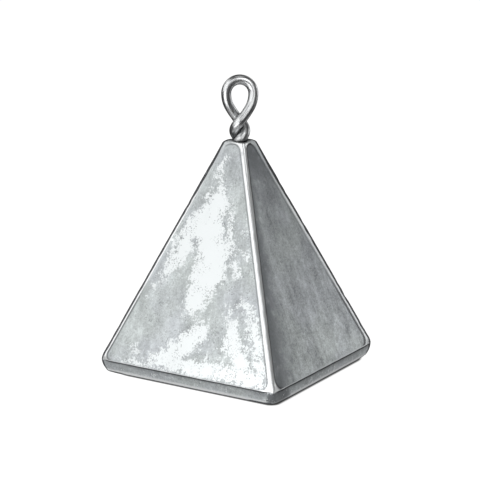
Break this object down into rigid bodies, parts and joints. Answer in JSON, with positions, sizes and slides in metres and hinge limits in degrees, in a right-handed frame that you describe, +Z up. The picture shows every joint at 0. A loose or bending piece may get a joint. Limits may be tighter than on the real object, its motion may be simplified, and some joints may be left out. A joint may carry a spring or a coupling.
{
  "type": "pyramid fishing sinker",
  "caption": "Pyramid-shaped cast lead fishing sinker with shallow sunk side panels and a twisted wire eye cast into its top for tying on line.",
  "frame": {"origin": "middle of the flat underside of the lead", "axes": "+Z up from the underside through the wire eye; X and Y parallel to the sides of the square base; the eye stands along the diagonal from -X -Y to +X +Y, and the corner between +X and -Y faces the viewer of the picture"},
  "size_m": [0.031, 0.031, 0.0445],
  "materials": {
    "cast_lead": "matte",
    "steel_wire": "polished"
  },
  "bodies": {
    "root": {"lead_body": "cast_lead", "wire_eye": "steel_wire"}
  },
  "joints": []
}
